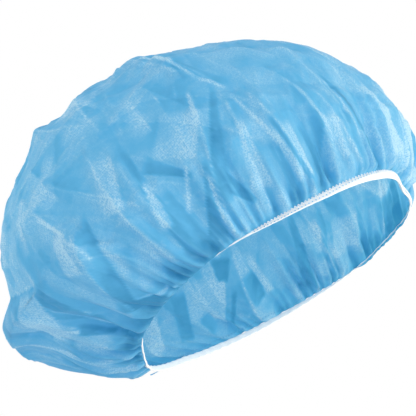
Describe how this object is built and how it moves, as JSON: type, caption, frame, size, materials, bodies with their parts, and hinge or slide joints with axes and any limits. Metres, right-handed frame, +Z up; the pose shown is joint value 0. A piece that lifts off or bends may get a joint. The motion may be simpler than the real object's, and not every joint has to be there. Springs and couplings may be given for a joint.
{
  "type": "disposable hairnet",
  "caption": "Disposable bouffant hairnet of light non-woven fabric, a puffed crown gathered onto a white stitched elastic band, held as worn.",
  "frame": {"origin": "centre of the head opening, in the plane of the elastic's lower edge", "axes": "+Z up as worn, -Y the way the wearer faces, +X the wearer's left; the opening is tilted, front edge up"},
  "size_m": [0.2246, 0.2691, 0.2028],
  "materials": {
    "nonwoven_fabric": "thin spunbond polypropylene, matt with a faint sheen, slightly see-through",
    "elastic": "white knitted elastic with an overlocked edge, matt"
  },
  "bodies": {
    "root": {"crown": "nonwoven_fabric", "elastic_band": "elastic"}
  },
  "joints": []
}
